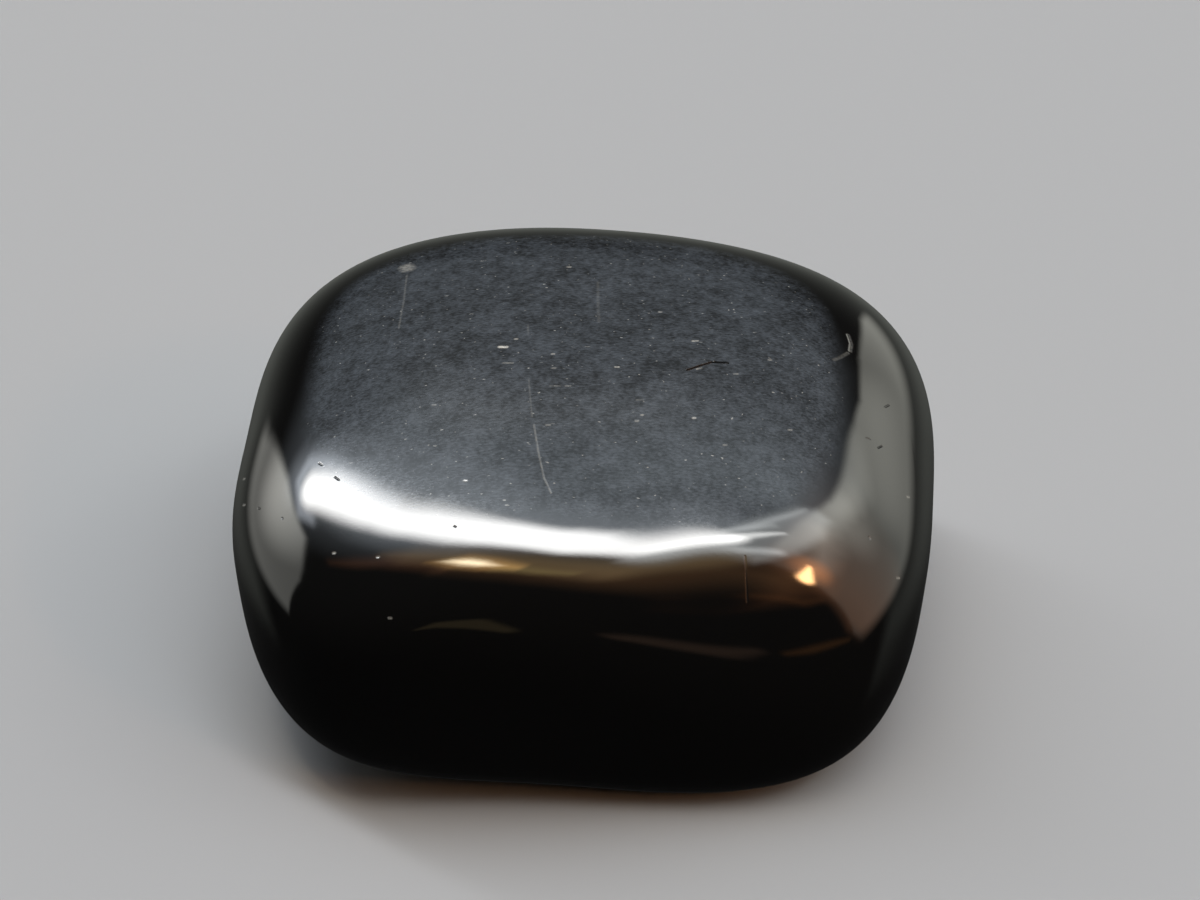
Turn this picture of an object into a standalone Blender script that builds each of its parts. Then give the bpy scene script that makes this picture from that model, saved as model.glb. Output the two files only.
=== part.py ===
# A tumbled shungite stone: one squarish cushion of black rock, worn smooth all over.
# It rests on a flat under its belly. The model is in metres with +Z up, and its
# origin is at the middle of the stone's outline, on the surface it stands on.

import math

import bmesh
import bpy
from mathutils import Vector

MM = 0.001

# The stone is a cushion that tumbling left rounder at the back than at the front.
# Sizes are millimetres from the heart of the stone to its surface.
HALF_WIDTH = 13.7
HALF_DEPTH = 14.95
TOP_HEIGHT = 7.9
BELLY_DEPTH = 6.65

# How square each outline is: 2 is an ellipse, and a higher number is nearer to a box.
FRONT_OUTLINE_SQUARENESS = 2.5
BACK_OUTLINE_SQUARENESS = 2.7
FRONT_SHOULDER_SQUARENESS = 1.6
BACK_SHOULDER_SQUARENESS = 3.1
BELLY_SQUARENESS = 3.85

# The back is broader than the middle by this share, and the front is narrower.
BACK_BREADTH = 0.11

# How quickly the top turns into the belly, and the front into the back.
BELLY_TURN = 3.0
FRONT_TURN = 2.5

# The cushion is turned on its rest and its top leans to the right and to the front.
TURN = math.radians(-3.5)
LEAN_RIGHT = math.tan(math.radians(2))
LEAN_BACK = math.tan(math.radians(-1))

# Two broad flats meet in the bright edge along the front: azimuth (0 is +X, 90 is +Y)
# and elevation in degrees, and the distance from the heart in millimetres.
FRONT_FLAT = (-88, -9, 11.75)
FRONT_SHOULDER_FLAT = (-72.5, 31, 10.8)
FLAT_TIGHTNESS = 12

# Low swells and hollows, a few tenths of a millimetre: azimuth, elevation and height.
# The broad ones are about 27 degrees across, and the small ones about 22 degrees.
BROAD_SWELLS = {
    "back_left_belly_swell": (135, -55, 0.4),
    "left_belly_hollow": (180, -26, -0.15),
    "front_left_belly_hollow": (-120, -26, -0.4),
    "front_belly_hollow": (-90, -26, -0.35),
    "front_right_belly_swell": (-60, -26, 0.15),
    "right_front_belly_swell": (-30, -26, 0.15),
    "left_hollow": (180, 4, -0.2),
    "left_front_corner": (-150, 4, 0.3),
    "front_left_hollow": (-120, 4, -0.1),
    "front_swell": (-90, 4, 0.2),
    "right_front_corner": (-30, 4, 0.15),
    "right_hollow": (0, 4, -0.2),
    "front_right_shoulder_hollow": (-60, 34, -0.2),
    "right_front_shoulder": (-30, 34, 0.2),
    "right_shoulder": (0, 34, 0.55),
    "back_right_shoulder_hollow": (45, 34, -0.1),
    "back_shoulder": (90, 34, 0.25),
    "back_left_shoulder_hollow": (135, 34, -0.15),
}
BROAD_TIGHTNESS = 9
SMALL_SWELLS = {
    "left_edge_swell": (-165, 19, 0.45),
    "front_left_edge_hollow": (-135, 19, -0.15),
    "front_edge_swell": (-105, 19, 0.1),
    "front_right_edge_swell": (-45, 19, 0.15),
    "front_top_hollow": (-75, 52, -0.1),
}
SMALL_TIGHTNESS = 14

# The belly is worn level by this much where the stone stands, in millimetres.
REST_WEAR = 0.35

# The stone is blown up from a cube with this many squares along each edge,
# by way of a ball that is flattened to this share of its width.
SQUARES = 26
BALL_FLATNESS = 0.55

# Points on the rim of the resting flat that lie closer than this are one, in millimetres.
SHORTEST_EDGE = 0.1

STONE_COLOUR = (0.012, 0.012, 0.013, 1.0)
STONE_ROUGHNESS = 0.12
SHARP_FROM = math.radians(30)


def facing(azimuth, elevation):
    """The direction of an azimuth and an elevation in degrees."""
    turn = math.radians(azimuth)
    rise = math.radians(elevation)
    level = math.cos(rise)
    return Vector((level * math.cos(turn), level * math.sin(turn), math.sin(rise)))


def mix(low, high, share):
    return low + (high - low) * share


def rounded_sum(parts, squareness):
    """Join several pressures into one: the higher the squareness, the tighter the corner."""
    return sum(abs(part) ** squareness for part in parts) ** (1.0 / squareness)


def turned_and_leaned(direction):
    """The direction as the cushion itself sees it."""
    across = direction.x * math.cos(TURN) + direction.y * math.sin(TURN)
    along = direction.y * math.cos(TURN) - direction.x * math.sin(TURN)
    up = direction.z + LEAN_RIGHT * across + LEAN_BACK * along
    return across - LEAN_RIGHT * direction.z, along - LEAN_BACK * direction.z, up


def cushion_pressure(direction):
    """How hard the cushion presses in along a direction: one over its reach there."""
    across, along, up = turned_and_leaned(direction)
    top_share = 0.5 + 0.5 * math.tanh(BELLY_TURN * up)
    front_share = 0.5 - 0.5 * math.tanh(FRONT_TURN * along)
    outline = mix(BACK_OUTLINE_SQUARENESS, FRONT_OUTLINE_SQUARENESS, front_share)
    shoulder = mix(BACK_SHOULDER_SQUARENESS, FRONT_SHOULDER_SQUARENESS, front_share)
    rounding = mix(BELLY_SQUARENESS, shoulder, top_share)
    height = mix(BELLY_DEPTH, TOP_HEIGHT, top_share)
    across *= 1.0 - BACK_BREADTH * along
    plan = rounded_sum((across / HALF_WIDTH, along / HALF_DEPTH), outline)
    return rounded_sum((plan, up / height), rounding)


def flat_pressure(direction, flat):
    azimuth, elevation, distance = flat
    return max(0.0, direction.dot(facing(azimuth, elevation)) / distance)


def swelling(direction, swells, tightness):
    """The height that the swells and hollows add along a direction, in millimetres."""
    height = 0.0
    for azimuth, elevation, crest in swells.values():
        nearness = direction.dot(facing(azimuth, elevation)) - 1.0
        height += crest * math.exp(tightness * nearness)
    return height


def reach(direction):
    """How far the surface lies from the heart of the stone along a direction, in millimetres."""
    pressures = (
        cushion_pressure(direction),
        flat_pressure(direction, FRONT_FLAT),
        flat_pressure(direction, FRONT_SHOULDER_FLAT),
    )
    distance = 1.0 / rounded_sum(pressures, FLAT_TIGHTNESS)
    distance += swelling(direction, BROAD_SWELLS, BROAD_TIGHTNESS)
    return distance + swelling(direction, SMALL_SWELLS, SMALL_TIGHTNESS)


def clear_scene():
    for old in list(bpy.data.objects):
        bpy.data.objects.remove(old, do_unlink=True)


def blow_up_cube(bm):
    """Cut a cube into squares, round it to a flattened ball and push it out to the skin."""
    bmesh.ops.create_cube(bm, size=2.0)
    bmesh.ops.subdivide_edges(bm, edges=bm.edges[:], cuts=SQUARES - 1, use_grid_fill=True)
    for vert in bm.verts:
        ball = Vector([math.tan(part * math.pi / 4) for part in vert.co]).normalized()
        ball.z *= BALL_FLATNESS
        direction = ball.normalized()
        vert.co = direction * reach(direction) * MM


def wear_resting_flat(bm):
    """Take the lowest sliver off level, and close the cut with one flat face."""
    rest_level = min(vert.co.z for vert in bm.verts) + REST_WEAR * MM
    everything = bm.verts[:] + bm.edges[:] + bm.faces[:]
    bmesh.ops.bisect_plane(
        bm,
        geom=everything,
        dist=SHORTEST_EDGE * MM / 2,
        plane_co=(0, 0, rest_level),
        plane_no=(0, 0, -1),
        clear_outer=True,
    )
    rim = {vert for vert in bm.verts if vert.is_boundary}
    for vert in rim:
        vert.co.z = rest_level
    bmesh.ops.remove_doubles(bm, verts=list(rim), dist=SHORTEST_EDGE * MM)
    bmesh.ops.holes_fill(bm, edges=[edge for edge in bm.edges if edge.is_boundary])


def stand_on_origin(bm):
    """Bring the middle of the outline to the origin and the resting flat to z = 0."""
    xs = [vert.co.x for vert in bm.verts]
    ys = [vert.co.y for vert in bm.verts]
    zs = [vert.co.z for vert in bm.verts]
    middle = Vector(((min(xs) + max(xs)) / 2, (min(ys) + max(ys)) / 2, min(zs)))
    bmesh.ops.translate(bm, verts=bm.verts[:], vec=-middle)


def stone_material():
    material = bpy.data.materials.new("polished_shungite")
    material.use_nodes = True
    shader = material.node_tree.nodes["Principled BSDF"]
    shader.inputs["Base Color"].default_value = STONE_COLOUR
    shader.inputs["Roughness"].default_value = STONE_ROUGHNESS
    shader.inputs["Metallic"].default_value = 0.0
    return material


def build_stone(collection):
    mesh = bpy.data.meshes.new("tumbled_stone")
    bm = bmesh.new()
    blow_up_cube(bm)
    wear_resting_flat(bm)
    stand_on_origin(bm)
    bmesh.ops.recalc_face_normals(bm, faces=bm.faces[:])
    bm.to_mesh(mesh)
    bm.free()
    mesh.shade_smooth()
    mesh.set_sharp_from_angle(angle=SHARP_FROM)
    mesh.materials.append(stone_material())
    stone = bpy.data.objects.new("tumbled_stone", mesh)
    collection.objects.link(stone)


clear_scene()
stone_collection = bpy.data.collections.new("tumbled_shungite")
bpy.context.scene.collection.children.link(stone_collection)
build_stone(stone_collection)
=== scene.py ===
import math

import bpy
import numpy as np
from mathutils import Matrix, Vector


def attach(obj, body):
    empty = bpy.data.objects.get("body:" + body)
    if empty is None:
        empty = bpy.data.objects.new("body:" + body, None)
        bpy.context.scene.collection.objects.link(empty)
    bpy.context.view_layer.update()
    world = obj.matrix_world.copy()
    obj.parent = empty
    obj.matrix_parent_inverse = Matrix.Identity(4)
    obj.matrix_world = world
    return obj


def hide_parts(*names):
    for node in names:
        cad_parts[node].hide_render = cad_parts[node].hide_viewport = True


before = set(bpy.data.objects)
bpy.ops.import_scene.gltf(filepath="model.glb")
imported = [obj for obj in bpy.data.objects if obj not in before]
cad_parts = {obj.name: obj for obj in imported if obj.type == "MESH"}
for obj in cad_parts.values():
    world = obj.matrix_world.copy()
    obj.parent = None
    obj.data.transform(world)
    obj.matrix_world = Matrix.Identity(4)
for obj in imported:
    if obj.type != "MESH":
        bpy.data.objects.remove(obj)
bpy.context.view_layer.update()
mm = 0.001

# the worn form: a cushion, two broad flats in front and a few low swells, sizes in millimetres
stoneForm = {
    "halfWidth": 13.7,
    "halfDepth": 14.95,
    "topHeight": 7.9,
    "bellyDepth": 6.65,
    "frontOutline": 2.5,  # 2 is an ellipse, higher is nearer to a box
    "backOutline": 2.7,
    "frontShoulder": 1.6,
    "backShoulder": 3.1,
    "belly": 3.85,
    "backBreadth": 0.11,
    "bellyTurn": 3.0,
    "frontTurn": 2.5,
    "turn": -3.5,  # degrees
    "leanRight": 2.0,
    "leanBack": -1.0,
    "frontFlat": (-88, -9, 11.75),  # azimuth, elevation, distance
    "frontShoulderFlat": (-72.5, 31, 10.8),
    "flatTightness": 12,  # higher is a sharper corner where two faces meet
    "broadTightness": 9,  # higher is a smaller swell
    "smallTightness": 14,
    "restWear": 0.35,
    "ballFlatness": 0.55,
    "firstCuts": 10,
    "secondCuts": 8,
    "rimAngle": 30.0,  # steeper edges than this stay sharp, degrees
}

# azimuth, elevation and height of each swell or hollow
broadSwells = [
    (135, -55, 0.4),
    (180, -26, -0.15),
    (-120, -26, -0.4),
    (-90, -26, -0.35),
    (-60, -26, 0.15),
    (-30, -26, 0.15),
    (180, 4, -0.2),
    (-150, 4, 0.3),
    (-120, 4, -0.1),
    (-90, 4, 0.2),
    (-30, 4, 0.15),
    (0, 4, -0.2),
    (-60, 34, -0.2),
    (-30, 34, 0.2),
    (0, 34, 0.55),
    (45, 34, -0.1),
    (90, 34, 0.25),
    (135, 34, -0.15),
]
smallSwells = [
    (-165, 19, 0.45),
    (-135, 19, -0.15),
    (-105, 19, 0.1),
    (-45, 19, 0.15),
    (-75, 52, -0.1),
]


def facing(azimuth, elevation):
    turn = math.radians(azimuth)
    rise = math.radians(elevation)
    level = math.cos(rise)
    return np.array([level * math.cos(turn), level * math.sin(turn), math.sin(rise)])


def roundedSum(first, second, squareness):
    return (np.abs(first) ** squareness + np.abs(second) ** squareness) ** (1.0 / squareness)


def reach(directions):
    # how far the skin lies from the heart of the stone, in millimetres
    form = stoneForm
    turn = math.radians(form["turn"])
    leanRight = math.tan(math.radians(form["leanRight"]))
    leanBack = math.tan(math.radians(form["leanBack"]))
    x, y, z = directions.T
    across = x * math.cos(turn) + y * math.sin(turn)
    along = y * math.cos(turn) - x * math.sin(turn)
    up = z + leanRight * across + leanBack * along
    across = across - leanRight * z
    along = along - leanBack * z
    topShare = 0.5 + 0.5 * np.tanh(form["bellyTurn"] * up)
    frontShare = 0.5 - 0.5 * np.tanh(form["frontTurn"] * along)
    outline = form["backOutline"] + (form["frontOutline"] - form["backOutline"]) * frontShare
    shoulder = form["backShoulder"] + (form["frontShoulder"] - form["backShoulder"]) * frontShare
    rounding = form["belly"] + (shoulder - form["belly"]) * topShare
    height = form["bellyDepth"] + (form["topHeight"] - form["bellyDepth"]) * topShare
    across = across * (1.0 - form["backBreadth"] * along)
    plan = roundedSum(across / form["halfWidth"], along / form["halfDepth"], outline)
    pressure = roundedSum(plan, up / height, rounding) ** form["flatTightness"]
    for name in ("frontFlat", "frontShoulderFlat"):
        azimuth, elevation, distance = form[name]
        nearness = np.maximum(0.0, directions @ facing(azimuth, elevation) / distance)
        pressure = pressure + nearness ** form["flatTightness"]
    distance = pressure ** (-1.0 / form["flatTightness"])
    kinds = ((broadSwells, form["broadTightness"]), (smallSwells, form["smallTightness"]))
    for swells, tightness in kinds:
        for azimuth, elevation, swell in swells:
            nearness = directions @ facing(azimuth, elevation) - 1.0
            distance = distance + swell * np.exp(tightness * nearness)
    return distance


def readPoints(mesh):
    points = np.empty(len(mesh.vertices) * 3)
    mesh.vertices.foreach_get("co", points)
    return points.reshape(-1, 3)


def writePoints(mesh, points):
    mesh.vertices.foreach_set("co", points.ravel())
    mesh.update()


def onSkin(points):
    directions = points / np.linalg.norm(points, axis=1)[:, None]
    return directions * reach(directions)[:, None] * mm


def blowUpStone():
    # a cube cut into squares, rounded to a flattened ball and pushed out to the skin
    bpy.ops.object.select_all(action="DESELECT")
    bpy.ops.mesh.primitive_cube_add(size=2.0, location=(0, 0, 0))
    stone = bpy.context.active_object
    stone.name = "tumbledShungite"
    bpy.ops.object.mode_set(mode="EDIT")
    bpy.ops.mesh.select_all(action="SELECT")
    bpy.ops.mesh.subdivide(number_cuts=stoneForm["firstCuts"])
    bpy.ops.mesh.subdivide(number_cuts=stoneForm["secondCuts"])
    bpy.ops.object.mode_set(mode="OBJECT")
    ball = np.tan(readPoints(stone.data) * math.pi / 4)
    ball /= np.linalg.norm(ball, axis=1)[:, None]
    ball[:, 2] *= stoneForm["ballFlatness"]
    writePoints(stone.data, onSkin(ball))
    return stone


stone = blowUpStone()
skin = readPoints(stone.data)
lowest = skin.min(axis=0)
highest = skin.max(axis=0)
restLevel = lowest[2] + stoneForm["restWear"] * mm
heart = Vector((-(lowest[0] + highest[0]) / 2, -(lowest[1] + highest[1]) / 2, -restLevel))
print("stone blown up, heart at", [round(v / mm, 3) for v in heart])

# camera, in millimetres from the heart and degrees
cameraSet = {
    "distance": 89.6,
    "elevation": 34.0,
    "fieldOfView": 30.0,
    "aimRight": 0.609,
    "aimUp": 2.518,
    "clip": (0.005, 20),  # metres
}


def placeCamera():
    rise = math.radians(cameraSet["elevation"])
    back = Vector((0, -math.cos(rise), math.sin(rise)))
    upward = Vector((0, math.sin(rise), math.cos(rise)))
    place = heart + back * cameraSet["distance"] * mm
    aim = heart + (Vector((1, 0, 0)) * cameraSet["aimRight"] + upward * cameraSet["aimUp"]) * mm
    bpy.ops.object.select_all(action="DESELECT")
    bpy.ops.object.camera_add(location=place)
    camera = bpy.context.active_object
    camera.rotation_euler = (aim - place).to_track_quat("-Z", "Y").to_euler()
    camera.data.sensor_fit = "HORIZONTAL"
    camera.data.angle = math.radians(cameraSet["fieldOfView"])
    camera.data.clip_start, camera.data.clip_end = cameraSet["clip"]
    camera.data.dof.use_dof = False
    bpy.context.scene.camera = camera
    return camera


camera = placeCamera()
print("camera placed")

# finish of the stone, sizes in millimetres
polish = {
    "black": (0.0022, 0.0022, 0.0022, 1),
    "haze": (0.038, 0.045, 0.055, 1),
    "glint": (0.20, 0.205, 0.20, 1),
    "dust": (0.33, 0.33, 0.31, 1),
    "ior": 1.62,
    "topMiddle": (-0.7, -1.0),  # the rubbed face seen from above
    "topReach": (10.3, 9.3),
    "topSquareness": 3.0,
    "grainFades": (0.92, 1.03),  # where the worn grain thins out, as a share of that face
    "glossReturns": (0.46, 0.8),  # and where the full gloss comes back
    "grainTurn": 4,  # degrees, as are the other turns
    "grainLength": 0.17,
    "grainWidth": 0.075,
    "grainDetail": 2.0,
    "cloudSize": 1.5,
    "cloudShare": 0.5,
    "smallCloudSize": 0.45,
    "smallCloudShare": 0.55,
    "hazeRange": (0.80, 1.36),  # from clear to hazy, in grain and clouds together
    "scratches": ((3, 0.70), (-24, 0.73), (76, 0.73)),  # turn, and how few there are
    "scratchLength": 0.9,
    "scratchWidth": 0.035,
    "scratchEdge": 0.06,
    "scratchShare": 0.5,
    "glintTurn": 8,
    "glintLength": 0.16,
    "glintWidth": 0.09,
    "glintRange": (0.80, 0.88),
    "brokenSize": 0.16,  # the pale marks are broken into grains
    "brokenRange": (0.30, 0.62),
    "brokenPale": (0.45, 1.15),
    "gloss": 0.05,  # roughness of the sides
    "rubbedRoughness": 0.17,  # how much rougher the rubbed face is
    "grainRoughness": 0.05,  # and how much more its grain,
    "scratchRoughness": 0.03,  # the hairline scratches
    "dustRoughness": 0.2,  # and the pale marks are
    "bump": 0.05,
    "bumpDepth": 0.004,
}

# worn marks: each follows points of a view 1200 wide and 900 high, with its width and
# depth in millimetres and how pale (or dark, below 0) it looks
viewSize = (1200, 900)
marks = {
    "crack": {
        "points": [(687, 370), (699, 366), (712, 362), (728, 363)],
        "width": 0.1, "depth": 0.08, "pale": -1.0,
    },
    "crackTail": {
        "points": [(652, 372), (668, 372), (687, 370)],
        "width": 0.05, "depth": 0.01, "pale": -0.35,
    },
    "crackLip": {
        "points": [(697, 369), (701, 368)],
        "width": 0.07, "depth": 0.0, "pale": 0.5,
    },
    "longScratch": {
        "points": [(534, 425), (538, 450), (544, 478), (551, 493)],
        "width": 0.06, "depth": 0.004, "pale": 0.2,
    },
    "longScratchTop": {
        "points": [(528, 325), (529, 384), (532, 417)],
        "width": 0.06, "depth": 0.002, "pale": 0.1,
    },
    "backScratch": {
        "points": [(598, 282), (598, 300), (599, 322)],
        "width": 0.1, "depth": 0.002, "pale": 0.06,
    },
    "sideScratch": {
        "points": [(745, 556), (746, 580), (747, 602)],
        "width": 0.06, "depth": 0.003, "pale": 0.015,
    },
    "blob": {
        "points": [(406, 267), (408, 269)],
        "width": 0.5, "depth": 0.008, "pale": 0.36,
    },
    "blobScratch": {
        "points": [(407, 275), (404, 300), (399, 328)],
        "width": 0.07, "depth": 0.003, "pale": 0.12,
    },
    "cornerChip": {
        "points": [(848, 335), (851, 344), (850, 351)],
        "width": 0.16, "depth": 0.01, "pale": 0.12,
    },
    "cornerChipLow": {
        "points": [(848, 353), (841, 357), (834, 360)],
        "width": 0.13, "depth": 0.006, "pale": 0.1,
    },
    "rightPit": {
        "points": [(885, 407), (889, 405)],
        "width": 0.08, "depth": 0.02, "pale": -0.8,
    },
    "rightPitLow": {
        "points": [(866, 438), (870, 439)],
        "width": 0.06, "depth": 0.015, "pale": -0.6,
    },
    "rightPitSmall": {
        "points": [(878, 448), (882, 446)],
        "width": 0.07, "depth": 0.02, "pale": -0.7,
    },
    "edgePit": {
        "points": [(869, 537), (870, 539)],
        "width": 0.07, "depth": 0.015, "pale": -0.6,
    },
    "leftPit": {
        "points": [(258, 508), (260, 509)],
        "width": 0.07, "depth": 0.015, "pale": -0.6,
    },
    "leftPitLow": {
        "points": [(282, 518), (283, 519)],
        "width": 0.06, "depth": 0.012, "pale": -0.5,
    },
    "bandPit": {
        "points": [(335, 477), (339, 480)],
        "width": 0.06, "depth": 0.012, "pale": -0.6,
    },
    "bandPitHigh": {
        "points": [(319, 463), (322, 465)],
        "width": 0.05, "depth": 0.01, "pale": -0.5,
    },
    "bandPitMiddle": {
        "points": [(454, 526), (456, 527)],
        "width": 0.05, "depth": 0.01, "pale": -0.5,
    },
}
# small pale flecks: place, length and width in steps of the view, and how pale each is
flecks = {
    "large": [(503, 347, 7, 3, 1.0)],
    "long": [
        (508, 363, 10, 1.4, 0.35), (555, 386, 10, 1.2, 0.18), (568, 386, 5, 1.4, 0.2),
        (640, 400, 7, 1.2, 0.16),
    ],
    "small": [
        (695, 341, 5, 2, 0.75), (617, 367, 3, 2, 0.6), (553, 354, 2, 2, 0.45), (554, 368, 3, 1.6, 0.45),
        (569, 267, 3, 2, 0.5), (660, 312, 2, 2, 0.4), (516, 339, 2, 2, 0.5), (637, 421, 2, 2, 0.5),
        (694, 418, 2, 2, 0.6), (642, 415, 2, 1.5, 0.4), (548, 425, 4, 1.6, 0.3), (434, 405, 3, 1.6, 0.35),
        (465, 481, 3, 2, 0.35), (334, 553, 2, 2, 0.5), (378, 557, 2, 2, 0.3), (390, 618, 2, 2, 0.3),
        (898, 578, 2, 2, 0.4), (908, 497, 2, 2, 0.35), (244, 479, 2, 2, 0.35), (244, 505, 2, 2, 0.35),
        (736, 374, 4, 1.6, 0.3), (770, 360, 3, 1.6, 0.3), (725, 445, 3, 1.6, 0.35), (790, 430, 3, 1.6, 0.3),
    ],
}
# how the marks are worn in, millimetres
wear = {
    "viewStep": 0.04,  # skin behind one step of the view
    "fleckDepth": 0.004,
    "refineRadii": (0.35, 0.2, 0.1),  # finer squares closer and closer to every mark
    "crackRadius": 0.03,  # and once more beside the crack
    "edge": 1.6,  # how far a mark's colour reaches, in half widths
    "flatMargin": 0.3,  # the skin is left as it is this near the flat
    "cutGap": 0.001,  # cut points closer than this to the level are on it
    "joinGap": 0.01,
}


def viewDirection(x, y):
    # the direction in which the camera sees a point of the view
    half = math.tan(math.radians(cameraSet["fieldOfView"]) / 2)
    across = (x / viewSize[0] * 2 - 1) * half
    up = (1 - y / viewSize[1] * 2) * half * viewSize[1] / viewSize[0]
    ray = Vector((across, up, -1.0))
    ray.rotate(camera.rotation_euler)
    return ray.normalized()


def underView(x, y):
    # the point of the skin behind a point of the view
    hit, place, normal, face = stone.ray_cast(camera.location, viewDirection(x, y))
    return np.array(place)


def standStone():
    # wear the lowest sliver level and bring the stone onto the origin
    bpy.ops.object.select_all(action="DESELECT")
    bpy.context.view_layer.objects.active = stone
    stone.select_set(True)
    writePoints(stone.data, readPoints(stone.data) + np.array(heart))
    bpy.ops.object.mode_set(mode="EDIT")
    bpy.ops.mesh.select_all(action="SELECT")
    bpy.ops.mesh.bisect(
        plane_co=(0, 0, 0),
        plane_no=(0, 0, -1),
        use_fill=True,
        clear_inner=False,
        clear_outer=True,
        threshold=wear["cutGap"] * mm,
    )
    bpy.ops.mesh.select_all(action="SELECT")
    bpy.ops.mesh.remove_doubles(threshold=wear["joinGap"] * mm)
    bpy.ops.mesh.normals_make_consistent(inside=False)
    bpy.ops.object.mode_set(mode="OBJECT")
    points = readPoints(stone.data)
    points[:, 2] = np.maximum(points[:, 2], 0)
    writePoints(stone.data, points)


standStone()
print("stone stands,", len(stone.data.vertices), "points")


def segmentDistance(points, first, last):
    # distance of every point to a straight stretch
    stretch = last - first
    share = np.clip((points - first) @ stretch / (stretch @ stretch), 0, 1)
    return np.linalg.norm(points - first - share[:, None] * stretch, axis=1)


def markDistance(points, path):
    return np.min([segmentDistance(points, a, b) for a, b in zip(path[:-1], path[1:])], axis=0)


def refineNear(paths, radius):
    # finer squares where a mark will be pressed in
    bpy.ops.object.mode_set(mode="EDIT")
    bpy.ops.mesh.select_all(action="DESELECT")
    bpy.ops.mesh.select_mode(type="FACE")
    bpy.ops.object.mode_set(mode="OBJECT")
    mesh = stone.data
    centres = np.empty(len(mesh.polygons) * 3)
    mesh.polygons.foreach_get("center", centres)
    centres = centres.reshape(-1, 3)
    near = np.zeros(len(centres), dtype=bool)
    for path, width in paths:
        near |= markDistance(centres, path) < radius + width
    mesh.polygons.foreach_set("select", near)
    bpy.ops.object.mode_set(mode="EDIT")
    bpy.ops.mesh.subdivide(number_cuts=1)
    bpy.ops.object.mode_set(mode="OBJECT")
    points = readPoints(mesh)
    free = points[:, 2] > wear["flatMargin"] * mm
    points[free] = onSkin(points[free] - np.array(heart)) + np.array(heart)
    writePoints(mesh, points)


def fleckMarks():
    # every fleck becomes a short mark of its own
    made = {}
    for kind, group in flecks.items():
        for index, (x, y, length, width, pale) in enumerate(group):
            made[kind + str(index)] = {
                "points": [(x - length / 2, y), (x + length / 2, y)],
                "width": width * wear["viewStep"],
                "depth": wear["fleckDepth"],
                "pale": pale,
            }
    return made


def wearMarks():
    marks.update(fleckMarks())
    paths = {}
    for name, mark in marks.items():
        paths[name] = np.array([underView(x, y) for x, y in mark["points"]])
    widths = [(paths[name], mark["width"] * mm) for name, mark in marks.items()]
    for radius in wear["refineRadii"]:
        refineNear(widths, radius * mm)
        print("  refined to", len(stone.data.polygons), "faces")
    refineNear([(paths["crack"], marks["crack"]["width"] * mm / 2)], wear["crackRadius"] * mm)
    mesh = stone.data
    points = readPoints(mesh)
    normals = np.empty(len(mesh.vertices) * 3)
    mesh.vertices.foreach_get("normal", normals)
    normals = normals.reshape(-1, 3)
    scuff = np.zeros(len(points))
    sunk = np.zeros(len(points))
    for name, mark in marks.items():
        near = markDistance(points, paths[name]) / (mark["width"] * mm / 2)
        shape = np.clip(1.0 - near * near, 0, 1)
        sunk = np.maximum(sunk, shape * mark["depth"] * mm)
        mine = np.clip(wear["edge"] - near, 0, 1) * mark["pale"]
        scuff = np.where(np.abs(mine) > np.abs(scuff), mine, scuff)
    writePoints(mesh, points - normals * sunk[:, None])
    # how far out a point lies on the rubbed face seen from above: 1 at its rim
    across, along = ((points[:, :2] / mm - polish["topMiddle"]) / polish["topReach"]).T
    farOut = roundedSum(across, along, polish["topSquareness"])
    for name, values in (("scuff", scuff), ("farOut", farOut)):
        layer = mesh.attributes.new(name, "FLOAT", "POINT")
        layer.data.foreach_set("value", values)


wearMarks()
bpy.ops.object.select_all(action="DESELECT")
stone.select_set(True)
bpy.ops.object.shade_smooth_by_angle(angle=math.radians(stoneForm["rimAngle"]))
print("marks worn in,", len(stone.data.polygons), "faces")


def newMaterial(name):
    material = bpy.data.materials.new(name)
    material.use_nodes = True
    return material, material.node_tree.nodes["Principled BSDF"]


def feed(tree, socket, value):
    # another node's output is linked to the socket, and a plain value is set on it
    if isinstance(value, bpy.types.NodeSocket):
        tree.links.new(value, socket)
    else:
        socket.default_value = value


def calculate(tree, operation, *values):
    node = tree.nodes.new("ShaderNodeMath")
    node.operation = operation
    for socket, value in zip(node.inputs, values):
        feed(tree, socket, value)
    return node.outputs["Value"]


def joined(tree, operation, first, second):
    # a chain of results starts with nothing
    return second if first is None else calculate(tree, operation, first, second)


def ramp(tree, value, low, high, smooth=False):
    # 0 below low, 1 above high
    node = tree.nodes.new("ShaderNodeMapRange")
    node.interpolation_type = "SMOOTHSTEP" if smooth else "LINEAR"
    feed(tree, node.inputs["Value"], value)
    node.inputs["From Min"].default_value = low
    node.inputs["From Max"].default_value = high
    return node.outputs["Result"]


def noise(tree, vector, size, detail):
    # size is the width of one blot in millimetres
    node = tree.nodes.new("ShaderNodeTexNoise")
    feed(tree, node.inputs["Vector"], vector)
    node.inputs["Scale"].default_value = 1.0 / (size * mm)
    node.inputs["Detail"].default_value = detail
    return node.outputs["Fac"]


def mixColour(tree, share, first, second):
    node = tree.nodes.new("ShaderNodeMix")
    node.data_type = "RGBA"
    share0, first0, second0 = (node.inputs[index] for index in (0, 6, 7))  # the colour ones
    feed(tree, share0, share)
    feed(tree, first0, first)
    feed(tree, second0, second)
    return node.outputs[2]


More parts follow.
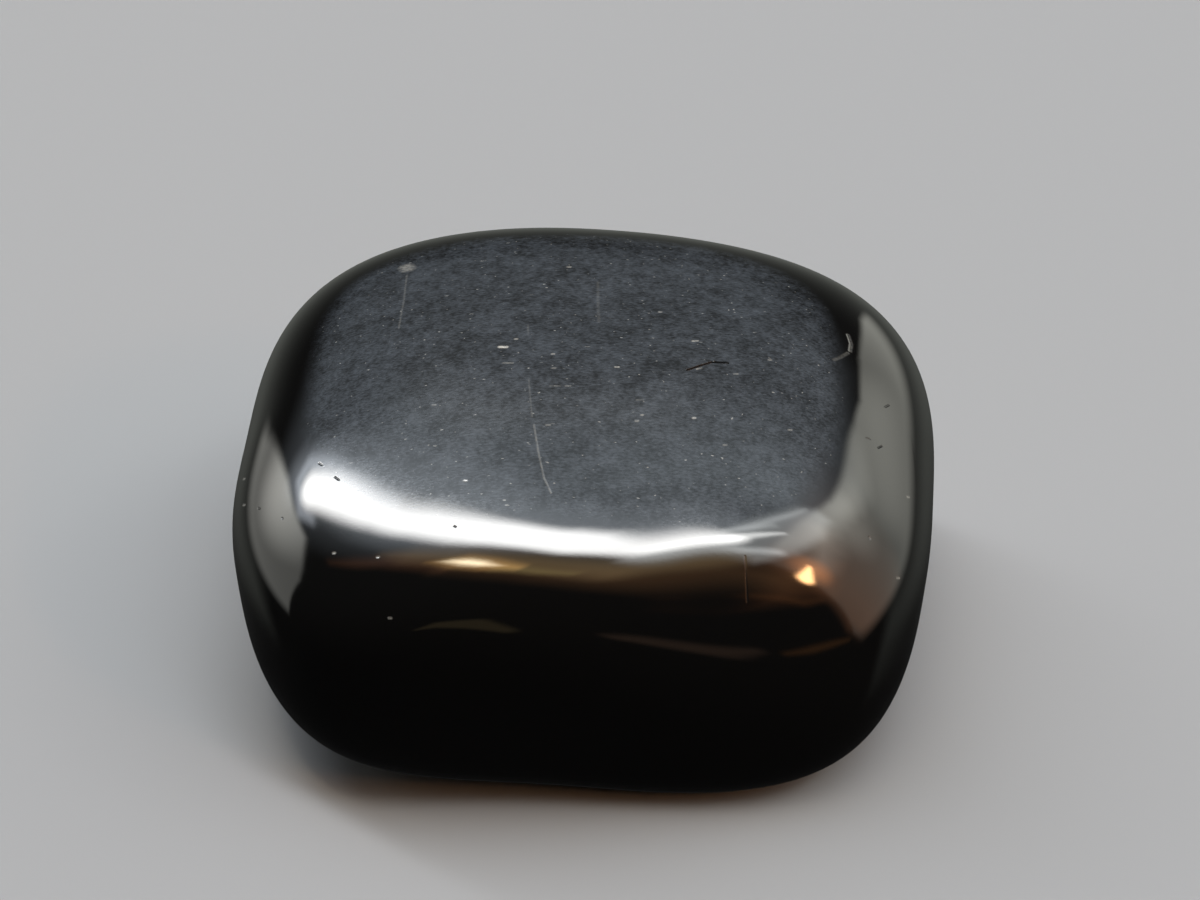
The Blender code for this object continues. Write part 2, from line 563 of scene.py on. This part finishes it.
def streaks(tree, place, kind, turn, detail):
    # grain, scratches or glints, drawn out along one angle
    length = polish[kind + "Length"] * mm
    width = polish[kind + "Width"] * mm
    mapping = tree.nodes.new("ShaderNodeMapping")
    mapping.inputs["Rotation"].default_value = (0, 0, math.radians(turn))
    mapping.inputs["Scale"].default_value = (1 / length, 1 / width, 1 / width)
    feed(tree, mapping.inputs["Vector"], place)
    lines = tree.nodes.new("ShaderNodeTexNoise")
    lines.inputs["Scale"].default_value = 1.0
    lines.inputs["Detail"].default_value = detail
    feed(tree, lines.inputs["Vector"], mapping.outputs["Vector"])
    return lines.outputs["Fac"]


def attribute(tree, name):
    node = tree.nodes.new("ShaderNodeAttribute")
    node.attribute_name = name
    return node.outputs["Fac"]


def polishedShungite():
    material, shader = newMaterial("polishedShungite")
    tree = material.node_tree
    place = tree.nodes.new("ShaderNodeTexCoord").outputs["Object"]
    scuff = attribute(tree, "scuff")
    farOut = attribute(tree, "farOut")
    grained = ramp(tree, farOut, *reversed(polish["grainFades"]), smooth=True)
    rubbed = ramp(tree, farOut, *reversed(polish["glossReturns"]), smooth=True)

    # haze: fine grain in soft clouds, crossed by hairline scratches
    grain = streaks(tree, place, "grain", polish["grainTurn"], polish["grainDetail"])
    smallCloud = noise(tree, place, polish["smallCloudSize"], 1.0)
    cloud = noise(tree, place, polish["cloudSize"], 3.0)
    mixed = calculate(tree, "MULTIPLY_ADD", cloud, polish["cloudShare"], grain)
    mixed = calculate(tree, "MULTIPLY_ADD", smallCloud, polish["smallCloudShare"], mixed)
    haze = ramp(tree, mixed, *polish["hazeRange"])
    lines = None
    for turn, few in polish["scratches"]:
        line = ramp(tree, streaks(tree, place, "scratch", turn, 1.0), few, few + polish["scratchEdge"])
        lines = joined(tree, "MAXIMUM", lines, line)
    worn = calculate(tree, "MULTIPLY_ADD", lines, polish["scratchShare"], haze)
    worn = calculate(tree, "MULTIPLY", worn, grained)
    glints = ramp(tree, streaks(tree, place, "glint", polish["glintTurn"], 0.0), *polish["glintRange"])
    glints = calculate(tree, "MULTIPLY", glints, grained)

    # the single marks, pale or dark
    broken = ramp(tree, noise(tree, place, polish["brokenSize"], 1.0), *polish["brokenRange"])
    least, most = polish["brokenPale"]
    broken = calculate(tree, "MULTIPLY_ADD", broken, most - least, least)
    pale = calculate(tree, "MULTIPLY", calculate(tree, "MAXIMUM", scuff, 0.0), broken)
    dark = calculate(tree, "MAXIMUM", calculate(tree, "MULTIPLY", scuff, -1.0), 0.0)

    colour = mixColour(tree, worn, polish["black"], polish["haze"])
    colour = mixColour(tree, glints, colour, polish["glint"])
    colour = mixColour(tree, pale, colour, polish["dust"])
    colour = mixColour(tree, dark, colour, polish["black"])
    rough = calculate(tree, "MULTIPLY_ADD", rubbed, polish["rubbedRoughness"], polish["gloss"])
    rough = calculate(tree, "MULTIPLY_ADD", worn, polish["grainRoughness"], rough)
    rough = calculate(tree, "MULTIPLY_ADD", lines, polish["scratchRoughness"], rough)
    rough = calculate(tree, "MULTIPLY_ADD", pale, polish["dustRoughness"], rough)
    bump = tree.nodes.new("ShaderNodeBump")
    bump.inputs["Strength"].default_value = polish["bump"]
    bump.inputs["Distance"].default_value = polish["bumpDepth"] * mm
    feed(tree, bump.inputs["Height"], grain)
    feed(tree, shader.inputs["Base Color"], colour)
    feed(tree, shader.inputs["Roughness"], rough)
    feed(tree, shader.inputs["Normal"], bump.outputs["Normal"])
    shader.inputs["IOR"].default_value = polish["ior"]
    return material


stone.data.materials.clear()
stone.data.materials.append(polishedShungite())
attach(stone, "root")
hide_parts("tumbled_stone")
print("stone finished")

# floor, in metres
floorSet = {"size": 1.6, "colour": (0.242, 0.253, 0.268, 1), "roughness": 0.85, "shine": 0.1}


def layFloor():
    bpy.ops.object.select_all(action="DESELECT")
    bpy.ops.mesh.primitive_plane_add(size=floorSet["size"], location=(0, 0, 0))
    floor = bpy.context.active_object
    floor.name = "paleFloor"
    material, shader = newMaterial("paleFloorMatt")
    shader.inputs["Base Color"].default_value = floorSet["colour"]
    shader.inputs["Roughness"].default_value = floorSet["roughness"]
    shader.inputs["Specular IOR Level"].default_value = floorSet["shine"]
    floor.data.materials.append(material)
    floor.visible_glossy = False


layFloor()

# the studio: each light is drawn on a sky chart, where overhead is in the middle and the horizon
# is 90 degrees out. All numbers but the glows and colours are degrees, and a place is given by
# how far it lies to the right of overhead and how far ahead of it.
# stroke: points that the light runs through, each with its half width there
# pieces: straight sided patches, in place of a stroke
# soft: width of the blurred edge
# cores: round glows added inside, each with its place, radius and glow
# fade: the light thins out evenly from the first place to the second
# rises, dies: distances from overhead between which it grows or ends
room = {
    "overheadStrip": {
        "glow": 17.0, "colour": (1.0, 0.99, 0.97), "soft": 4.0,
        "stroke": [
            (-43.2, 28.2, 2.9), (-37.5, 24.8, 2.8), (-31, 20.6, 2.2), (-24, 15.1, 2.6),
            (-15, 6.8, 3.4), (-9, 1.9, 3.7),
            (0, -4.7, 4.1), (10, -11.8, 4.3), (16, -16.6, 4.1), (20, -20.2, 3.2), (24, -23.8, 2.3),
            (27, -26, 2.3),
        ],
    },
    "stripTip": {
        "glow": 9.0, "colour": (1.0, 1.0, 0.98), "soft": 2.5,
        "stroke": [(27.5, -25, 1.6), (31, -22, 1.2), (36, -18, 0.3)],
    },
    "stripHalo": {
        "glow": 3.0, "colour": (0.9, 0.97, 1.06), "soft": 3.0,
        "stroke": [
            (-45, 23.4, 0.9), (-48, 26, 1.2), (-46.5, 32.5, 1.0), (-43, 34, 1.4),
            (-38.5, 30.6, 1.7), (-33, 25.5, 1.2), (-28, 21.5, 0.6),
        ],
    },
    "stripGlow": {
        "glow": 1.8, "colour": (0.88, 0.97, 1.06), "soft": 10.0,
        "stroke": [
            (-46, 33, 4), (-36, 26.5, 5), (-24, 17.5, 6.5), (-9, 5.5, 8), (10, -8, 7),
            (23, -17, 4.5),
        ],
    },
    "wedge": {
        "glow": 2.4, "colour": (0.95, 1.0, 1.0), "soft": 5.0,
        "pieces": [[
            (24, -25), (30, -12), (38, -1), (43, 2), (47, 0), (46, -12), (40, -28), (33, -37),
            (28, -32.5),
        ]],
    },
    "wedgeLine": {
        "glow": 2.2, "colour": (0.97, 1.0, 1.0), "soft": 2.5,
        "stroke": [(26, -21, 0.6), (29, -17.5, 1.2), (32.5, -12, 1), (36.5, -6, 0.8), (40, 0, 0.3)],
    },
    "wedgeNear": {
        "glow": 2.6, "colour": (0.97, 1.0, 1.0), "soft": 4.0,
        "stroke": [(27, -21, 0.8), (33, -15, 0.6)],
    },
    "wedgeFoot": {
        "glow": 4.0, "colour": (0.98, 1.0, 1.0), "soft": 4.0,
        "stroke": [(27, -29.6, 1.2), (30.5, -31.4, 1.5), (36, -30, 1.3)],
    },
    "panelNear": {
        "glow": 2.8, "colour": (1.0, 0.88, 0.76), "soft": 20.0,
        "stroke": [(46, -9, 1), (47, -16, 2), (47.5, -26, 0)],
    },
    "rightPanel": {
        "glow": 0.9, "colour": (1.0, 1.0, 0.9), "soft": 3.0, "fade": ((60, 10), (60, -72)),
        "pieces": [
            [(34, 99), (36, 78), (43.5, 56), (70, 56), (96, 92)],
            [(42.5, 59), (51, 38), (99, 38), (99, 59)],
            [(51, 44), (51, 24), (99, 24), (99, 44)],
            [(51, 30), (44.5, 3), (99, 3), (99, 30)],
            [(46, 10), (38, -11), (33, -36), (60, -45), (72, -49), (99, -42), (99, 10)],
        ],
        "cores": [
            (54, 24, 8, 0.8), (52, 17, 8, 1.6), (49.5, 10.5, 8, 2.0), (47.5, 3, 8, 1.4),
            (46, -4, 8, 1.2),
            (43.5, -11, 8, 1.6), (40.5, -18, 8, 1.6), (36, -24, 8, 1.6), (50, 2, 22, 1.4),
            (57, 34, 26, 1.0),
        ],
    },
    "warmPanel": {
        "glow": 0.85, "colour": (1.0, 0.46, 0.24), "soft": 10.0, "fade": ((60, -34), (60, 22)),
        "pieces": [[(42, 26), (34, -36), (66, -49), (99, -42), (99, 26)]],
    },
    "leftPanel": {
        "glow": 0.85, "colour": (1.0, 1.0, 0.93), "soft": 3.0,
        "pieces": [
            [(-60.5, 97), (-57, 58), (-99, 58), (-99, 97)],
            [(-57.5, 63), (-50.5, 36), (-49.3, 20.5), (-58, 12.8), (-64, 9), (-99, 0.5), (-99, 63)],
        ],
        "cores": [(-51, 34, 24, 3.0)],
    },
    "ceiling": {
        "glow": 0.62, "colour": (0.87, 0.97, 1.06), "soft": 16.0, "fade": ((0, 0), (0, 96)),
        "pieces": [[
            (-52, 42), (-24, 76), (15, 80), (42, 44), (52, 22), (38, -16), (25, -27), (-50, 24),
        ]],
    },
    "ceilingLow": {
        "glow": 0.8, "colour": (0.86, 0.98, 1.06), "soft": 24.0,
        "stroke": [(-22, 30, 3), (-4, 16, 5), (14, 9, 9), (34, 4, 11)],
    },
    "floorShine": {
        "glow": 0.15, "colour": (0.95, 1.0, 0.9), "soft": 30.0, "rises": (76, 106), "dies": (104, 130),
        "pieces": [[(-150, 45), (-60, 14), (60, -6), (150, -30), (150, 170), (-150, 170)]],
    },
    "warmBand": {
        "glow": 1.3, "colour": (1.0, 0.68, 0.34), "soft": 8.0,
        "stroke": [
            (-31, 10, -1), (-25, 5, 1.5), (-15, -4, 2.5), (0, -17, 3.5), (14, -27, 4),
            (27, -36, 4),
        ],
    },
    "warmHaze": {
        "glow": 0.5, "colour": (1.0, 0.5, 0.22), "soft": 12.0,
        "stroke": [(-16, -10, 0.5), (0, -24, 2), (14, -34, 3), (28, -41, 4), (37, -44, 4)],
    },
    "redBand": {
        "glow": 0.42, "colour": (1.0, 0.42, 0.2), "soft": 6.0,
        "stroke": [(-45, 12, 0), (-38, 9.5, 1.5), (-30, 6, 2.5), (-23, -1, 2.5), (-15, -12, 1)],
    },
    "goldStreak": {
        "glow": 34.0, "colour": (1.0, 0.9, 0.66), "soft": 5.0,
        "stroke": [
            (-19.5, -3, -2.2), (-14.5, -7, -0.6), (-10, -11.2, 0.2), (-5.5, -15.5, 0.1),
            (-1, -19.6, -0.9), (3, -22.5, -2),
        ],
    },
    "goldHalo": {
        "glow": 6.0, "colour": (1.0, 0.55, 0.18), "soft": 6.0,
        "stroke": [(-21, -2, -1.5), (-12, -9.5, 1.6), (-3, -18, 1.8), (6, -25, 0.6)],
    },
    "goldTail": {
        "glow": 1.6, "colour": (1.0, 0.8, 0.3), "soft": 6.0,
        "stroke": [(0, -22, 0.8), (12, -30.5, 0.8), (20, -35, 0)],
    },
    "smallLamp": {
        "glow": 40.0, "colour": (1.0, 0.52, 0.22), "soft": 2.5,
        "stroke": [(44.3, -33, 0.4), (44, -39.5, 2.2)],
    },
    "smallLampGlow": {
        "glow": 0.4, "colour": (1.0, 0.38, 0.14), "soft": 8.0,
        "pieces": [[(36, -28), (54, -22), (54, -42), (38, -54)]],
        "cores": [(45.5, -33.5, 9, 4.5)],
    },
    "lampShadow": {
        "glow": 0.35, "colour": (1.0, 0.38, 0.12), "soft": 4.0,
        "stroke": [(36, -52, 0.4), (45, -50.5, 0.8), (50, -46, 0.2)],
    },
    "farPatch": {
        "glow": 0.2, "colour": (1.0, 0.74, 0.36), "soft": 5.0,
        "stroke": [(-19, -77, 0.5), (-10, -74, 3.5), (3, -77, 5.5), (12, -84, 3)],
    },
    "farRed": {
        "glow": 0.2, "colour": (1.0, 0.6, 0.4), "soft": 4.0,
        "stroke": [(34, -79, 1.5), (37, -77.5, 2.4), (40, -74, 1.2)],
    },
    "farStreak": {
        "glow": 0.3, "colour": (1.0, 0.42, 0.12), "soft": 4.0,
        "stroke": [(46, -72, 0.5), (53, -67, 1.4), (62, -60, 1.2), (71, -53, 0.6)],
    },
}
darkRoom = 0.012
horizon = (86, 97)  # where every other light dies away
rightSide = 20  # lights wholly beyond this are worked out only there


def vectorMath(tree, operation, *values):
    node = tree.nodes.new("ShaderNodeVectorMath")
    node.operation = operation
    for socket, value in zip(node.inputs, values):
        feed(tree, socket, value)
    return node


def measured(tree, place, direction, start):
    # how far a place lies from a start along a direction
    weights = (direction.x, direction.y, -direction.dot(start))
    return vectorMath(tree, "DOT_PRODUCT", place, weights).outputs["Value"]


def apartFrom(tree, place, other):
    return vectorMath(tree, "DISTANCE", place, other).outputs["Value"]


def patchDepth(tree, place, corners):
    # how deep a place lies inside a patch, below 0 outside it
    corners = [Vector(corner) for corner in corners]
    middle = sum(corners, Vector((0, 0))) / len(corners)
    depth = None
    for first, second in zip(corners, corners[1:] + corners[:1]):
        inward = (second - first).orthogonal().normalized()
        if inward.dot(middle - first) < 0:
            inward = -inward
        depth = joined(tree, "MINIMUM", depth, measured(tree, place, inward, first))
    return depth


def strokeDepth(tree, place, first, last):
    # the same for a stroke between two points, each with its half width
    start = Vector(first[:2])
    along = Vector(last[:2]) - start
    share = ramp(tree, measured(tree, place, along / along.length_squared, start), 0, 1)
    passed = vectorMath(tree, "SCALE", (along.x, along.y, 0))
    feed(tree, passed.inputs["Scale"], share)
    nearest = vectorMath(tree, "ADD", passed.outputs["Vector"], (start.x, start.y, 1))
    halfWidth = calculate(tree, "MULTIPLY_ADD", share, last[2] - first[2], first[2])
    return calculate(tree, "SUBTRACT", halfWidth, apartFrom(tree, place, nearest.outputs["Vector"]))


def coreShare(tree, place, right, ahead, radius):
    # 1 in the middle of a round glow, falling to 0 at its radius
    return ramp(tree, apartFrom(tree, place, (right, ahead, 1)), radius, 0, smooth=True)


def fadeShare(tree, place, first, last):
    # 1 at the first place and 0 at the last one, evenly in between
    along = Vector(last) - Vector(first)
    return ramp(tree, measured(tree, place, along / along.length_squared, Vector(first)), 1, 0)


def skyChart(tree):
    # where a direction lies on the chart, how far from overhead and how far to the right
    split = tree.nodes.new("ShaderNodeSeparateXYZ")
    feed(tree, split.inputs["Vector"], tree.nodes.new("ShaderNodeTexCoord").outputs["Generated"])
    right, ahead, height = split.outputs
    height = calculate(tree, "MAXIMUM", calculate(tree, "MINIMUM", height, 1.0), -1.0)
    apart = calculate(tree, "DEGREES", calculate(tree, "ARCCOSINE", height))
    level = calculate(tree, "MULTIPLY", right, right)
    level = calculate(tree, "SQRT", calculate(tree, "MULTIPLY_ADD", ahead, ahead, level))
    outward = calculate(tree, "DIVIDE", apart, calculate(tree, "MAXIMUM", level, 0.0001))
    toRight = calculate(tree, "MULTIPLY", right, outward)
    join = tree.nodes.new("ShaderNodeCombineXYZ")
    feed(tree, join.inputs["X"], toRight)
    feed(tree, join.inputs["Y"], calculate(tree, "MULTIPLY", ahead, outward))
    join.inputs["Z"].default_value = 1
    return join.outputs["Vector"], apart, toRight


def reachOf(light):
    # the points that a light is made of, each with how far it reaches round them
    soft = light["soft"] / 2
    if "stroke" in light:
        return [(Vector(point[:2]), point[2] + soft) for point in light["stroke"]]
    return [(Vector(corner), soft) for corners in light["pieces"] for corner in corners]


def nearLight(tree, place, light):
    # 1 in the straight band that a light lies in and 0 beside it, so that it is skipped there
    points = reachOf(light)
    along = points[-1][0] - points[0][0] if "stroke" in light else Vector((0, 1))
    sideways = along.orthogonal().normalized()
    low = min(sideways.dot(point) - around for point, around in points)
    high = max(sideways.dot(point) + around for point, around in points)
    side = measured(tree, place, sideways, sideways * (low + high) / 2)
    return calculate(tree, "COMPARE", side, 0, (high - low) / 2)


def lightShare(tree, place, apart, light):
    stroke = light.get("stroke", [])
    depth = None
    for corners in light.get("pieces", []):
        depth = joined(tree, "MAXIMUM", depth, patchDepth(tree, place, corners))
    for first, last in zip(stroke[:-1], stroke[1:]):
        depth = joined(tree, "MAXIMUM", depth, strokeDepth(tree, place, first, last))
    share = ramp(tree, depth, -light["soft"] / 2, light["soft"] / 2, smooth=True)
    strength = light["glow"]
    for right, ahead, radius, glow in light.get("cores", []):
        core = coreShare(tree, place, right, ahead, radius)
        strength = calculate(tree, "MULTIPLY_ADD", core, glow, strength)
    share = calculate(tree, "MULTIPLY", share, strength)
    if "fade" in light:
        share = calculate(tree, "MULTIPLY", share, fadeShare(tree, place, *light["fade"]))
    if "rises" in light:
        risen = ramp(tree, apart, *light["rises"], smooth=True)
        share = calculate(tree, "MULTIPLY", share, risen)
    near, far = light.get("dies", horizon)
    if max(point.length + around for point, around in reachOf(light)) > near:
        left = ramp(tree, apart, far, near, smooth=True)
        share = calculate(tree, "MULTIPLY", share, left)
    return share


def addShader(tree, first, second):
    if first is None:
        return second
    both = tree.nodes.new("ShaderNodeAddShader")
    feed(tree, both.inputs[0], first)
    feed(tree, both.inputs[1], second)
    return both.outputs["Shader"]


def onlyWhere(tree, share, light):
    choice = tree.nodes.new("ShaderNodeMixShader")
    feed(tree, choice.inputs["Fac"], share)
    feed(tree, choice.inputs[2], light)
    return choice.outputs["Shader"]


def addLights(tree, place, apart, lights, total):
    for light in lights:
        lamp = tree.nodes.new("ShaderNodeBackground")
        lamp.inputs["Color"].default_value = (*light["colour"], 1)
        feed(tree, lamp.inputs["Strength"], lightShare(tree, place, apart, light))
        seen = onlyWhere(tree, nearLight(tree, place, light), lamp.outputs["Background"])
        total = addShader(tree, total, seen)
    return total


def isBeyond(light):
    return min(point.x - around for point, around in reachOf(light)) > rightSide


def lightRoom():
    world = bpy.data.worlds.new("softStudio")
    bpy.context.scene.world = world
    world.use_nodes = True
    world.cycles.sampling_method = "MANUAL"
    world.cycles.sample_map_resolution = 512
    tree = world.node_tree
    place, apart, toRight = skyChart(tree)
    dark = tree.nodes["Background"]
    dark.inputs["Color"].default_value = (darkRoom, darkRoom, darkRoom, 1)
    beyond = [light for light in room.values() if isBeyond(light)]
    others = [light for light in room.values() if not isBeyond(light)]
    total = addLights(tree, place, apart, others, dark.outputs["Background"])
    onRight = calculate(tree, "GREATER_THAN", toRight, rightSide)
    total = addShader(tree, total, onlyWhere(tree, onRight, addLights(tree, place, apart, beyond, None)))
    feed(tree, tree.nodes["World Output"].inputs["Surface"], total)
    print("  lights:", ", ".join(room))


lightRoom()
bpy.context.scene.view_settings.view_transform = "Standard"
print("room lit")
